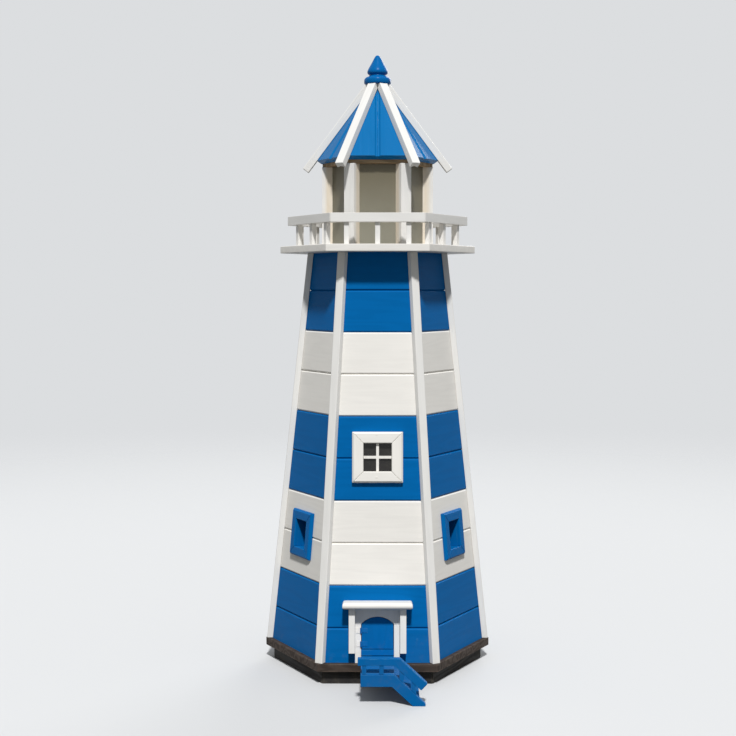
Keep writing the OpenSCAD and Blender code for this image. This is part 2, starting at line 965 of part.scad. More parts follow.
// Short rails between the posts, behind the top edge of each pane
module lantern_head_rails() {
    half_out = (head_out / 2 - post_w / 2) / cos(30) - fit;
    half_in = (head_in / 2 - post_w / 2) / cos(30) - fit;
    color(wood)
        for (k = [0 : SIDES - 1])
            rotate([0, 0, TURN * k])
                translate([0, 0, post_top - head_h])
                    linear_extrude(head_h - fit)
                        polygon([
                            [-half_out, -head_out], [half_out, -head_out],
                            [half_in, -head_in], [-half_in, -head_in]
                        ]);
}

// ---------- lamp ----------

module lamp_holder() {
    color(black)
        difference() {
            union() {
                translate([0, 0, deck_top + fit])
                    cylinder(d = holder_flange_d, h = holder_flange_t);
                translate([0, 0, deck_top + fit])
                    cylinder(d = holder_d, h = holder_h);
            }
            translate([0, 0, deck_top + fit + holder_h - socket_depth])
                cylinder(d = socket_d, h = socket_depth + 1);
        }
}

// Bulb: a threaded cap in the holder, a neck and a globe turned in one outline
module bulb() {
    cap_z = deck_top + fit + holder_h - socket_depth + fit;
    neck_z = cap_z + socket_depth;
    color([0.96, 0.94, 0.86]) {
        translate([0, 0, cap_z])
            cylinder(d = cap_d, h = socket_depth + 0.1);
        translate([0, 0, neck_z])
            cylinder(d1 = cap_d + 2, d2 = bulb_d * 0.85, h = bulb_neck_h);
        translate([0, 0, neck_z + bulb_neck_h + bulb_d * 0.26])
            sphere(d = bulb_d);
    }
}

// Tube along the points of a route in the plane x = 0
module swept_tube(points, r, sides) {
    count = len(points);
    function heading(i) =
        let (d = points[min(i + 1, count - 1)] - points[max(i - 1, 0)]) d / norm(d);
    rings = [
        for (i = [0 : count - 1])
            let (d = heading(i), across = [0, -d[2], d[1]])
                for (j = [0 : sides - 1])
                    points[i] + r * (cos(360 * j / sides) * [1, 0, 0]
                        + sin(360 * j / sides) * across)
    ];
    walls = [
        for (i = [0 : count - 2])
            for (j = [0 : sides - 1])
                let (a = i * sides + j, b = i * sides + (j + 1) % sides)
                    [a, b, b + sides, a + sides]
    ];
    ends = [
        [for (j = [sides - 1 : -1 : 0]) j],
        [for (j = [0 : sides - 1]) (count - 1) * sides + j]
    ];
    polyhedron(rings, concat(walls, ends), convexity = 6);
}

// The lead runs down inside the rear boards, from the holder to the gland
module lead() {
    color(black)
        swept_tube(lead_route, lead_d / 2, 8);
}

// Hole for the lead through the rear bar of the middle frame
module lead_passage() {
    on_wall(rear)
        translate([0, board_t + lead_off, 0])
            cylinder(d = lead_d + lead_room, h = wall_len);
}

module lead_clips() {
    color(white)
        for (z = clip_heights)
            on_wall(rear)
                translate([0, board_t + fit, z])
                    difference() {
                        translate([-clip_w / 2, 0, 0])
                            cube([clip_w, lead_off + lead_d / 2 + 3, clip_h]);
                        translate([0, lead_off - fit, -1])
                            cylinder(d = lead_d + clip_room, h = clip_h + 2);
                    }
}

module cable_gland() {
    thread = board_t + gland_in;
    color(black)
        on_wall(rear)
            translate([0, 0, gland_s])
                rotate([-90, 0, 0])
                    difference() {
                        union() {
                            translate([0, 0, -gland_nut_t])
                                cylinder(d = gland_d, h = thread + gland_nut_t);
                            translate([0, 0, -gland_nut_t])
                                cylinder(d = gland_nut_d, h = gland_nut_t - fit, $fn = 6);
                            translate([0, 0, -gland_cap_l])
                                cylinder(d = gland_cap_d, h = gland_cap_l - gland_nut_t + 0.5);
                            translate([0, 0, board_t + fit])
                                cylinder(d = gland_nut_d, h = gland_nut_t, $fn = 6);
                        }
                        translate([0, 0, -gland_cap_l - 1])
                            cylinder(d = gland_bore, h = thread + gland_cap_l + 2);
                    }
}

// ---------- roof ----------

// Board under the roof that rests on the lantern posts, with six locating blocks
module roof_base() {
    apothem = roof_inner(roof_base_z + roof_base_t) - fit_slope;
    block_out = head_in - locator_gap;
    color(wood) {
        translate([0, 0, roof_base_z])
            linear_extrude(roof_base_t)
                difference() {
                    hexagon(apothem / cos(30));
                    circle(d = bulb_d + 2 * bulb_room);
                }
        for (k = [0 : SIDES - 1])
            rotate([0, 0, TURN * k])
                translate([-locator_w / 2, -block_out, roof_base_z - locator_h])
                    cube([locator_w, locator_t, locator_h - fit]);
    }
}

module roof_boards() {
    q = 1 - hip_edge * norm([2 / roof_side, 1 / roof_len]);
    top_s = (roof_board_top - eave_z) / cos(roof_lean);
    foot = roof_side / 2 * q;
    ridge = roof_len * q;
    c = board_chamfer;
    color(blue)
        for (k = [0 : SIDES - 1])
            on_roof(k)
                for (s = [-1, 1])
                    intersection() {
                        along_y(0, roof_t)
                            polygon([
                                [s * fit / 2, 0], [s * foot, 0],
                                [s * foot * (1 - top_s / ridge), top_s], [s * fit / 2, top_s]
                            ]);
                        linear_extrude(roof_len)
                            polygon([
                                [s * (roof_joint_w / 2 + c), 0], [s * roof_side, 0],
                                [s * roof_side, roof_t], [0, roof_t], [0, c],
                                [s * roof_joint_w / 2, c]
                            ]);
                    }
}

module roof_battens() {
    color(white)
        for (k = [0 : SIDES - 1])
            rotate([0, 0, TURN * k])
                intersection() {
                    translate([roof_side, 0, eave_z])
                        rotate([0, -hip_lean, 0])
                            translate([0, 0, -hip_over])
                                v_batten(hip_w, hip_out, hip_back, hip_len + hip_over);
                    linear_extrude(finial_z - fit)
                        polygon([
                            [fit, 0], [far, far * tan(30)], [far, -far * tan(30)]
                        ]);
                }
}

module apex_block() {
    apothem = roof_inner(apex_block_top) - fit_slope;
    color(wood)
        translate([0, 0, apex_block_top - apex_block_h])
            difference() {
                linear_extrude(apex_block_h)
                    hexagon(apothem / cos(30));
                translate([0, 0, -1])
                    cylinder(d = dowel_d + 2 * fit, h = apex_block_h + 2);
            }
}

// Turned finial: collar, neck groove and bud on a dowel
module finial() {
    h = finial_h;
    r = finial_r;
    color(blue) {
        translate([0, 0, finial_z])
            rotate_extrude($fn = 72)
                polygon([
                    [0, 0], [r - 2, 0], [r, 3], [r, h * 0.13], [r - 1.5, h * 0.19],
                    [r - 5, h * 0.235], [r - 9, h * 0.26], [r * 0.64, h * 0.275],
                    [r * 0.62, h * 0.325], [r * 0.7, h * 0.355], [r * 0.735, h * 0.4],
                    [r * 0.73, h * 0.45], [r * 0.685, h * 0.51], [r * 0.61, h * 0.58],
                    [r * 0.515, h * 0.66], [r * 0.415, h * 0.75], [r * 0.315, h * 0.84],
                    [r * 0.225, h * 0.92], [r * 0.115, h * 0.985], [0, h]
                ]);
        translate([0, 0, apex_block_top - apex_block_h + 4])
            cylinder(d = dowel_d, h = finial_z - apex_block_top + apex_block_h - 3.5);
    }
}

plinth_bars();
centre_bearer();
base_plate();
bottom_frame();
middle_frame();
top_frame();
for (k = [0 : SIDES - 1]) {
    blue_boards(k);
    white_boards(k);
    corner_batten(k);
}
front_window_frame();
front_window_muntins();
front_window_pane();
side_window_frames();
side_window_reveals();
side_window_panes();
arch_panel();
porch_posts();
porch_canopy();
door_sill();
door_leaf();
door_hinge_leaves();
door_hinge_pins();
stair_stringers();
stair_landing();
stair_treads();
stair_handrail();
stair_balusters();
gallery_deck();
deck_screws();
gallery_balusters();
gallery_rail();
lantern_posts();
lantern_head_rails();
lantern_panes();
lamp_holder();
bulb();
lead();
lead_clips();
cable_gland();
roof_base();
roof_boards();
roof_battens();
apex_block();
finial();
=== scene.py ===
import math
import random

import bmesh
import bpy
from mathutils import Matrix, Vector


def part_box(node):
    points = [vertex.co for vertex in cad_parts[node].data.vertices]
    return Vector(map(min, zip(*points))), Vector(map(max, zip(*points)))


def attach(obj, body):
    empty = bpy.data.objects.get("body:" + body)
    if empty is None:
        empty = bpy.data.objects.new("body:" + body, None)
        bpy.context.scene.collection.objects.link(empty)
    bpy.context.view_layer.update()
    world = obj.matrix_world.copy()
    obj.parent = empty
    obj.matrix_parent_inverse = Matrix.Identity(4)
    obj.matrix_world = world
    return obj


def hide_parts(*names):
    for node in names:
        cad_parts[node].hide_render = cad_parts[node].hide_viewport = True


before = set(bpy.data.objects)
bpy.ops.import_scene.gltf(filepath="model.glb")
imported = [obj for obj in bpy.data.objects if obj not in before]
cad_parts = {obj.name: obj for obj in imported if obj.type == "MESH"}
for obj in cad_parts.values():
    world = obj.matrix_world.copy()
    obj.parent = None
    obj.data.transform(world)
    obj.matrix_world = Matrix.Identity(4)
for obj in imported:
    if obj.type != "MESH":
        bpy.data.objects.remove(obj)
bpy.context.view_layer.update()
scene = bpy.context.scene
MM = 0.001


# ---------------------------------------------------------------- camera
# Stands on the lawn 3.07 m in front of the lighthouse, a little above half its height,
# with a short telephoto lens and no shift.
lens_mm = 64.7
sensor_mm = 36
camera_place = (-0.0043, -3.0713, 0.8666)
camera_tilt = math.radians(86.568)
camera_turn = math.radians(0.331)

camera = bpy.data.objects.new("camera", bpy.data.cameras.new("camera"))
camera.data.lens = lens_mm
camera.data.sensor_width = sensor_mm
camera.location = camera_place
camera.rotation_euler = (camera_tilt, 0, camera_turn)
scene.collection.objects.link(camera)
scene.camera = camera


# ---------------------------------------------------------------- floor and light
# A pale studio floor that fades into an even pale surround, one broad key light high in
# front, as the sun stands over the garden, and a weak light from behind.
floor_radius = 7.0
fade_from = 1.6
fade_to = 5.5
floor_colour = (0.645, 0.65, 0.655, 1)
floor_bounce = (0.13, 0.13, 0.12, 1)
surround_colour = (0.715, 0.73, 0.745, 1)
fill_colour = (0.93, 0.97, 1.0, 1)
fill_level = 0.30
key_strength = 3.45
key_elevation = math.radians(51.5)
key_turn = math.radians(3)
key_spread = math.radians(5)
back_strength = 1.3
back_elevation = math.radians(22)
back_turn = math.radians(158)
back_spread = math.radians(40)


def place(tree, kind, feeds=None, **settings):
    """Puts a node in a tree; feeds maps its sockets to values or to other sockets."""
    node = tree.nodes.new(kind)
    for key, value in settings.items():
        setattr(node, key, value)
    for socket, value in (feeds or {}).items():
        if isinstance(value, bpy.types.NodeSocket):
            tree.links.new(value, node.inputs[socket])
        else:
            node.inputs[socket].default_value = value
    return node


def maths(tree, operation, *values):
    """The result socket of one Math node."""
    return place(tree, "ShaderNodeMath", dict(enumerate(values)),
                 operation=operation).outputs[0]


def tint(tree, factor, first, second, blend="MIX"):
    """Mixes two colours, or lays the second over the first in another way."""
    node = place(tree, "ShaderNodeMix", {0: factor, 6: first, 7: second}, data_type="RGBA")
    node.blend_type = blend
    return node.outputs[2]


def seen_directly(tree):
    """1 where the camera, a reflection or a clear pane sees the studio, 0 where the studio
    only throws light on the lighthouse."""
    ray = place(tree, "ShaderNodeLightPath").outputs
    seen = maths(tree, "MAXIMUM", ray["Is Camera Ray"], ray["Is Glossy Ray"])
    return maths(tree, "MAXIMUM", seen, ray["Is Transmission Ray"])


def new_material(name):
    """An empty node material and its tree."""
    material = bpy.data.materials.new(name)
    material.use_nodes = True
    material.node_tree.nodes.clear()
    return material, material.node_tree


def studio_floor():
    mesh = bpy.data.meshes.new("studio_floor")
    work = bmesh.new()
    bmesh.ops.create_circle(work, cap_ends=True, segments=64, radius=floor_radius)
    work.to_mesh(mesh)
    work.free()
    floor = bpy.data.objects.new("studio_floor", mesh)
    scene.collection.objects.link(floor)
    material, tree = new_material("studio_floor")
    where = place(tree, "ShaderNodeTexCoord").outputs["Object"]
    away = place(tree, "ShaderNodeVectorMath", {0: where},
                 operation="LENGTH").outputs["Value"]
    fade = place(tree, "ShaderNodeMapRange", {
        "Value": away, "From Min": fade_from, "From Max": fade_to,
    }, interpolation_type="SMOOTHSTEP").outputs["Result"]
    colour = tint(tree, seen_directly(tree), floor_bounce, floor_colour)
    ground = place(tree, "ShaderNodeBsdfDiffuse", {"Color": colour}).outputs[0]
    clear = place(tree, "ShaderNodeBsdfTransparent").outputs[0]
    blend = place(tree, "ShaderNodeMixShader", {0: fade, 1: ground, 2: clear}).outputs[0]
    place(tree, "ShaderNodeOutputMaterial", {"Surface": blend})
    mesh.materials.append(material)


def studio_sun(name, strength, elevation, turn, spread):
    lamp = bpy.data.lights.new(name, "SUN")
    lamp.energy = strength
    lamp.angle = spread
    holder = bpy.data.objects.new(name, lamp)
    holder.rotation_euler = (math.pi / 2 - elevation, 0, turn)
    scene.collection.objects.link(holder)


def studio_surround():
    world = bpy.data.worlds.new("studio")
    scene.world = world
    world.use_nodes = True
    tree = world.node_tree
    tree.nodes.clear()
    shown = place(tree, "ShaderNodeBackground", {"Color": surround_colour}).outputs[0]
    fill = place(tree, "ShaderNodeBackground", {
        "Color": fill_colour, "Strength": fill_level,
    }).outputs[0]
    both = place(tree, "ShaderNodeMixShader", {
        0: seen_directly(tree), 1: fill, 2: shown,
    }).outputs[0]
    place(tree, "ShaderNodeOutputWorld", {"Surface": both})


studio_floor()
studio_surround()
studio_sun("key_light", key_strength, key_elevation, key_turn, key_spread)
studio_sun("back_light", back_strength, back_elevation, back_turn, back_spread)
scene.view_settings.view_transform = "Standard"


# ---------------------------------------------------------------- bearers
# Seven softwood bearers under the base plate, brushed with black preservative. They are
# sawn, not planed, so the saw marks stay under the thin coat.
bearer_black = (0.022, 0.021, 0.021, 1)
bearer_dust = (0.16, 0.14, 0.11, 1)
ring_shadow = (0.3, 0.3, 0.3, 1)
knot_spread = (2.6, 10.0, 10.0)
drift_spread = (1.0, 8.0, 8.0)
fibre_spread = (14.0, 640.0, 640.0)
knot_share = 0.70
knot_rim = 0.13
knot_heart = 0.06
knot_pull = 7.0
worn_from = 0.93
worn_through = 0.55
dust_top = 0.06
stain_rings = 70.0
stain_roughness = 0.62
stain_relief = 0.5 * MM
stain_shine = 0.2
weld_reach = 0.01 * MM
crease = math.radians(28)


def new_group(name, takes, gives):
    """A shader group with named sockets: its tree, what it takes and what it gives."""
    group = bpy.data.node_groups.new(name, "ShaderNodeTree")
    for socket, (kind, value) in takes.items():
        made = group.interface.new_socket(socket, in_out="INPUT",
                                          socket_type="NodeSocket" + kind)
        if value is not None:
            made.default_value = value
    for socket, kind in gives.items():
        group.interface.new_socket(socket, in_out="OUTPUT",
                                   socket_type="NodeSocket" + kind)
    entry = group.nodes.new("NodeGroupInput")
    leave = group.nodes.new("NodeGroupOutput")
    return group, entry.outputs, leave.inputs


def use(tree, group, feeds):
    """Places a group in a tree and returns its output sockets."""
    return place(tree, "ShaderNodeGroup", feeds, node_tree=group).outputs


def stretch(tree, vector, scale):
    """The same point with each axis scaled by itself."""
    return place(tree, "ShaderNodeVectorMath", {0: vector, 1: scale},
                 operation="MULTIPLY").outputs[0]


def noise(tree, vector, scale, detail=2.0, roughness=0.5):
    """Cloudy values from 0 to 1, with about as many clouds to the metre as scale says."""
    return place(tree, "ShaderNodeTexNoise", {
        "Vector": vector, "Scale": scale, "Detail": detail, "Roughness": roughness,
    }).outputs["Fac"]


def ramp(tree, value, low, high, start=0.0, end=1.0):
    """Maps low..high to start..end with soft ends."""
    return place(tree, "ShaderNodeMapRange", {
        "Value": value, "From Min": low, "From Max": high, "To Min": start, "To Max": end,
    }, interpolation_type="SMOOTHSTEP").outputs["Result"]


def timber_grain_group():
    """Softwood with its length along X: growth rings, fine fibre and scattered knots."""
    group, take, give = new_group("timber_grain", {
        "Vector": ("Vector", None), "Ring Count": ("Float", 55.0), "Knots": ("Float", 1.0),
    }, {"Rings": "Float", "Fibre": "Float", "Knot": "Float"})
    spots = place(group, "ShaderNodeTexVoronoi", {
        "Vector": stretch(group, take["Vector"], knot_spread), "Scale": 1.0,
    })
    near = spots.outputs["Distance"]
    pick = place(group, "ShaderNodeSeparateColor", {"Color": spots.outputs["Color"]})
    chosen = ramp(group, pick.outputs[0], knot_share, knot_share + 0.02)
    chosen = maths(group, "MULTIPLY", chosen, take["Knots"])
    knot = maths(group, "MULTIPLY", ramp(group, near, knot_rim, knot_heart), chosen)
    bend = maths(group, "MULTIPLY", ramp(group, near, 0.5, 0.0, 0.0, knot_pull), chosen)
    slow = noise(group, stretch(group, take["Vector"], drift_spread), 2.4)
    count = maths(group, "MULTIPLY_ADD", slow, take["Ring Count"], bend)
    rings = ramp(group, maths(group, "SINE", count), -0.6, 1.0)
    fibre = noise(group, stretch(group, take["Vector"], fibre_spread), 1.0, 3.0)
    group.links.new(rings, give["Rings"])
    group.links.new(fibre, give["Fibre"])
    group.links.new(knot, give["Knot"])
    return group


def worn_edges_group():
    """1 on a rubbed arris, 0 on a flat face; the rubbing comes and goes along the edge."""
    group, take, give = new_group("worn_edges", {
        "Place": ("Vector", None), "Reach": ("Float", 0.003), "Wear": ("Float", 0.5),
    }, {"Mask": "Float"})
    inside = place(group, "ShaderNodeAmbientOcclusion", {"Distance": take["Reach"]},
                   samples=6, inside=True, only_local=True).outputs["AO"]
    edge = ramp(group, inside, worn_from, worn_through)
    patchy = ramp(group, noise(group, take["Place"], 38.0, 4.0, 0.6), 0.40, 0.66)
    patchy = maths(group, "MULTIPLY", patchy, take["Wear"])
    group.links.new(maths(group, "MULTIPLY", edge, patchy), give["Mask"])
    return group


def stained_wood_group():
    """Thin stain over visible grain, rubbed paler along edges and dusty near the ground."""
    group, take, give = new_group("stained_wood", {
        "Vector": ("Vector", None), "Place": ("Vector", None), "Stain": ("Color", None),
        "Rubbed": ("Color", None), "Dust": ("Color", None), "Edge Reach": ("Float", 0.004),
        "Rub": ("Float", 0.6), "Dusting": ("Float", 0.3),
    }, {"Color": "Color", "Roughness": "Float", "Height": "Float"})
    grain = use(group, timber_grain, {
        "Vector": take["Vector"], "Ring Count": stain_rings, "Knots": 1.0,
    })
    darker = tint(group, maths(group, "MULTIPLY", grain["Rings"], 0.45), take["Stain"],
                  ring_shadow, "MULTIPLY")
    darker = tint(group, maths(group, "MULTIPLY", grain["Fibre"], 0.35), darker,
                  take["Rubbed"], "SOFT_LIGHT")
    rub = use(group, worn_edges, {
        "Place": take["Place"], "Reach": take["Edge Reach"], "Wear": take["Rub"],
    })["Mask"]
    coloured = tint(group, rub, darker, take["Rubbed"])
    low = place(group, "ShaderNodeSeparateXYZ", {0: take["Place"]}).outputs[2]
    low = ramp(group, low, dust_top, 0.0, 0.25, 1.0)
    speck = ramp(group, noise(group, take["Place"], 26.0, 7.0, 0.7), 0.42, 0.8)
    dusty = maths(group, "MULTIPLY", maths(group, "MULTIPLY", low, speck), take["Dusting"])
    group.links.new(tint(group, dusty, coloured, take["Dust"]), give["Color"])
    rough = maths(group, "MULTIPLY_ADD", grain["Rings"], 0.15, stain_roughness)
    group.links.new(maths(group, "ADD", rough, maths(group, "MULTIPLY", dusty, 0.3)),
                    give["Roughness"])
    height = maths(group, "MULTIPLY_ADD", grain["Rings"], -0.35, grain["Fibre"])
    height = maths(group, "MULTIPLY_ADD", grain["Knot"], -0.4, height)
    group.links.new(height, give["Height"])
    return group


def six_sides_group():
    """Turns the point on any of the six sides round the axis to the front side, and shifts
    it there, so that no two sides show the same grain."""
    group, take, give = new_group("six_sides", {
        "Vector": ("Vector", None), "Start": ("Float", 0.0),
    }, {"Vector": "Vector", "Side": "Float"})
    part = place(group, "ShaderNodeSeparateXYZ", {0: take["Vector"]})
    angle = maths(group, "ARCTAN2", part.outputs[1], part.outputs[0])
    angle = maths(group, "ADD", angle, take["Start"])
    side = maths(group, "ROUND", maths(group, "DIVIDE", angle, math.pi / 3))
    back = maths(group, "MULTIPLY", side, -math.pi / 3)
    turned = place(group, "ShaderNodeVectorRotate", {
        "Vector": take["Vector"], "Angle": back,
    }, rotation_type="Z_AXIS").outputs[0]
    shifted = place(group, "ShaderNodeVectorMath", {
        0: turned, 1: place(group, "ShaderNodeCombineXYZ", {0: side, 2: side}).outputs[0],
    }, operation="ADD").outputs[0]
    group.links.new(shifted, give["Vector"])
    group.links.new(side, give["Side"])
    return group


def grain_vector(tree, direction="x", sides=False, start=math.pi / 2, slope=0.0):
    """The place on the piece, and the same point with X along its grain. With sides, the
    grain follows each of the six sides, counted from start."""
    where = place(tree, "ShaderNodeTexCoord").outputs["Object"]
    vector = where
    if sides:
        vector = use(tree, six_sides, {"Vector": vector, "Start": start})["Vector"]
    turns = {"x": (0, 0, 0), "y": (0, 0, -math.pi / 2), "z": (0, math.pi / 2, 0),
             "up_roof": (slope, math.pi / 2, 0), "up_hip": (0, slope + math.pi / 2, 0)}
    if direction != "x":
        vector = place(tree, "ShaderNodeMapping", {
            "Vector": vector, "Rotation": turns[direction],
        }).outputs[0]
    return where, vector


def stained_wood_material(name, stain, rubbed, dust, rub, dusting, **lie):
    """Stained wood with its own colours; rub and dusting say how much shows of each."""
    material, tree = new_material(name)
    where, vector = grain_vector(tree, **lie)
    look = use(tree, stained_wood, {
        "Vector": vector, "Place": where, "Stain": stain, "Rubbed": rubbed, "Dust": dust,
        "Rub": rub, "Dusting": dusting,
    })
    bump = place(tree, "ShaderNodeBump", {
        "Height": look["Height"], "Distance": stain_relief, "Strength": 0.6,
    }).outputs[0]
    shader = place(tree, "ShaderNodeBsdfPrincipled", {
        "Base Color": look["Color"], "Roughness": look["Roughness"], "Normal": bump,
        "Specular IOR Level": stain_shine,
    })
    place(tree, "ShaderNodeOutputMaterial", {"Surface": shader.outputs[0]})
    return material


def finish_node(name, material, radius=0.8, segments=2):
    """Gives a CAD piece its material and eases its sharp edges by radius in millimetres."""
    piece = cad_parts[name]
    for holder in piece.material_slots:
        holder.material = material
    weld = piece.modifiers.new("one skin", "WELD")
    weld.merge_threshold = weld_reach
    ease = piece.modifiers.new("eased edges", "BEVEL")
    ease.width = radius * MM
    ease.segments = segments
    ease.limit_method = "ANGLE"
    ease.angle_limit = crease
    piece.modifiers.new("even shading", "WEIGHTED_NORMAL").keep_sharp = False


timber_grain = timber_grain_group()
worn_edges = worn_edges_group()
stained_wood = stained_wood_group()
six_sides = six_sides_group()
black_bearer = stained_wood_material("black_bearer", bearer_black, bearer_dust, bearer_dust,
                                     0.25, 0.5, sides=True)
black_middle_bearer = stained_wood_material("black_middle_bearer", bearer_black,
                                            bearer_dust, bearer_dust, 0.25, 0.5)
finish_node("plinth_bars", black_bearer, 1.2)
finish_node("centre_bearer", black_middle_bearer, 1.2)


# ---------------------------------------------------------------- base plate
# A hexagon of exterior plywood under the boards, stained dark brown on its face and edge.
# Its top edge is rubbed paler all round.
plate_stain = (0.062, 0.047, 0.039, 1)
plate_rubbed = (0.20, 0.145, 0.105, 1)
plate_dust = (0.17, 0.14, 0.11, 1)

dark_plate = stained_wood_material("dark_plate", plate_stain, plate_rubbed, plate_dust,
                                   0.8, 0.3)
finish_node("base_plate", dark_plate, 1.5, 3)


# ---------------------------------------------------------------- wall boards
# Planed softwood boards with V-jointed edges, primed and brushed with two coats of outdoor
# gloss. Each board took the paint a little differently, and the lowest ones are splashed.
paint_blue = (0.001, 0.122, 0.372, 1)
paint_white = (0.825, 0.798, 0.752, 1)
# The roof blue is a lighter, more cyan copy of the wall blue: a painted reflection of the
# sky.
roof_sky_tinted_blue = (0.001, 0.142, 0.385, 1)
blue_undercoat = (0.07, 0.26, 0.48, 1)
white_undercoat = (0.66, 0.60, 0.50, 1)
paint_splash = (0.16, 0.14, 0.10, 1)
satin = 0.30
gloss = 0.17
base_top = 48 * MM
first_board = 75 * MM
board_cover = 92.5 * MM
stroke_spread = (9.0, 210.0, 210.0)
paint_rings = 48.0
paint_knots = 0.6
arris_reach = 2.2 * MM
paint_relief = 0.35 * MM
splash_top = 0.16
splash_full = 0.045


def brushed_paint_group():
    """Brushed paint with the grain showing through it a little, and soil low down."""
    group, take, give = new_group("brushed_paint", {
        "Vector": ("Vector", None), "Place": ("Vector", None), "Paint": ("Color", None),
        "Undercoat": ("Color", None), "Tone": ("Float", 0.5), "Grain": ("Float", 0.5),
        "Splash": ("Color", None), "Soiling": ("Float", 0.5), "Sheen": ("Float", 0.4),
        "Wear": ("Float", 0.5),
    }, {"Color": "Color", "Roughness": "Float", "Height": "Float"})
    grain = use(group, timber_grain, {
        "Vector": take["Vector"], "Ring Count": paint_rings, "Knots": paint_knots,
    })
    strokes = noise(group, stretch(group, take["Vector"], stroke_spread), 1.0, 3.0, 0.6)
    cloud = noise(group, take["Place"], 7.0, 3.0, 0.55)
    shade = maths(group, "MULTIPLY", grain["Rings"], take["Grain"])
    shade = maths(group, "MULTIPLY_ADD", shade, -0.10, 1.04)
    shade = maths(group, "MULTIPLY_ADD", strokes, 0.07, shade)
    shade = maths(group, "MULTIPLY_ADD", cloud, 0.10, shade)
    shade = maths(group, "MULTIPLY_ADD", take["Tone"], 0.07, shade)
    shade = maths(group, "SUBTRACT", shade, 0.16)
    grey = place(group, "ShaderNodeCombineColor", {0: shade, 1: shade, 2: shade}).outputs[0]
    painted = tint(group, 1.0, take["Paint"], grey, "MULTIPLY")
    painted = tint(group, maths(group, "MULTIPLY", grain["Knot"], 0.12), painted,
                   take["Splash"])
    worn = use(group, worn_edges, {
        "Place": take["Place"], "Reach": arris_reach, "Wear": take["Wear"],
    })["Mask"]
    painted = tint(group, worn, painted, take["Undercoat"])
    high = place(group, "ShaderNodeSeparateXYZ", {0: take["Place"]}).outputs[2]
    low = ramp(group, high, splash_top, splash_full)
    speck = ramp(group, noise(group, take["Place"], 55.0, 6.0, 0.7), 0.5, 0.8)
    film = ramp(group, noise(group, take["Place"], 9.0, 4.0, 0.6), 0.35, 0.8, 0.0, 0.35)
    soil = maths(group, "MULTIPLY", maths(group, "ADD", speck, film), low)
    soil = maths(group, "MULTIPLY", soil, take["Soiling"])
    group.links.new(tint(group, soil, painted, take["Splash"]), give["Color"])
    rough = maths(group, "MULTIPLY_ADD", strokes, 0.16, take["Sheen"])
    rough = maths(group, "MULTIPLY_ADD", worn, 0.3, rough)
    group.links.new(maths(group, "MULTIPLY_ADD", soil, 0.5, rough), give["Roughness"])
    depth = maths(group, "MULTIPLY", take["Grain"], -0.5)
    height = maths(group, "MULTIPLY", grain["Rings"], depth)
    height = maths(group, "MULTIPLY_ADD", strokes, 0.5, height)
    height = maths(group, "MULTIPLY_ADD", grain["Fibre"], 0.25, height)
    height = maths(group, "MULTIPLY_ADD", grain["Knot"], 0.35, height)
    group.links.new(height, give["Height"])
    return group


def board_tone(tree, where, side):
    """One random number for each board, from its course and its side, and its course."""
    high = place(tree, "ShaderNodeSeparateXYZ", {0: where}).outputs[2]
    above = maths(tree, "SUBTRACT", high, base_top + first_board)
    course = maths(tree, "FLOOR", maths(tree, "DIVIDE", above, board_cover))
    pair = place(tree, "ShaderNodeCombineXYZ", {0: course, 1: side}).outputs[0]
    return place(tree, "ShaderNodeTexWhiteNoise", {"Vector": pair}).outputs["Value"], course


def painted_shader(tree, vector, where, paint, tone=0.5, grain=0.25, soiling=0.0,
                   sheen=satin, shine=0.04, wear=0.4):
    """Principled shader of brushed paint; the undercoat is the one for that paint."""
    blue = paint in (paint_blue, roof_sky_tinted_blue)
    look = use(tree, brushed_paint, {
        "Vector": vector, "Place": where, "Paint": paint, "Tone": tone, "Grain": grain,
        "Undercoat": blue_undercoat if blue else white_undercoat, "Splash": paint_splash,
        "Soiling": soiling, "Sheen": sheen, "Wear": wear,
    })
    bump = place(tree, "ShaderNodeBump", {
        "Height": look["Height"], "Distance": paint_relief, "Strength": 0.55,
    }).outputs[0]
    shader = place(tree, "ShaderNodeBsdfPrincipled", {
        "Base Color": look["Color"], "Roughness": look["Roughness"], "Normal": bump,
        "Specular IOR Level": shine,
    })
    place(tree, "ShaderNodeOutputMaterial", {"Surface": shader.outputs[0]})


def painted_material(name, paint, grain=0.25, soiling=0.15, sheen=satin, shine=0.04,
                     wear=0.4, boards=False, **lie):
    """Brushed paint; with boards, each wall board has its own tone and its own grain."""
    material, tree = new_material(name)
    where, vector = grain_vector(tree, **lie)
    tone = 0.5
    if boards:
        side = use(tree, six_sides, {"Vector": where, "Start": math.pi / 2})["Side"]
        tone, course = board_tone(tree, where, side)
        offset = place(tree, "ShaderNodeCombineXYZ", {0: course}).outputs[0]
        vector = place(tree, "ShaderNodeVectorMath", {0: vector, 1: offset},
                       operation="ADD").outputs[0]
    painted_shader(tree, vector, where, paint, tone, grain, soiling, sheen, shine, wear)
    return material


brushed_paint = brushed_paint_group()
blue_wall = painted_material("blue_wall", paint_blue, grain=0.5, shine=0.03, wear=0.25,
                             boards=True, sides=True)
white_wall = painted_material("white_wall", paint_white, grain=0.2, soiling=0.08,
                              boards=True, sides=True)
for side in range(6):
    finish_node(f"blue_boards_{side}", blue_wall, 0.7)
    finish_node(f"white_boards_{side}", white_wall, 0.7)

wall_lean = math.radians(5.387)
wall_front = -216.506 * MM
filler_radius = 2.7 * MM
filler_proud = 0.35 * MM
filler_steps = 20
filler_dome = ((1.0, -0.2), (0.92, 0.5), (0.62, 0.9), (0.3, 0.75))
board_screws = [(87, 0, 51)]


def on_front_wall(across, inwards, upwards):
    """A point on the front wall, whose boards lean in towards the top."""
    lean_in, lean_up = math.sin(wall_lean), math.cos(wall_lean)
    return Vector((across, wall_front + inwards * lean_up + upwards * lean_in,
                   base_top - inwards * lean_in + upwards * lean_up))


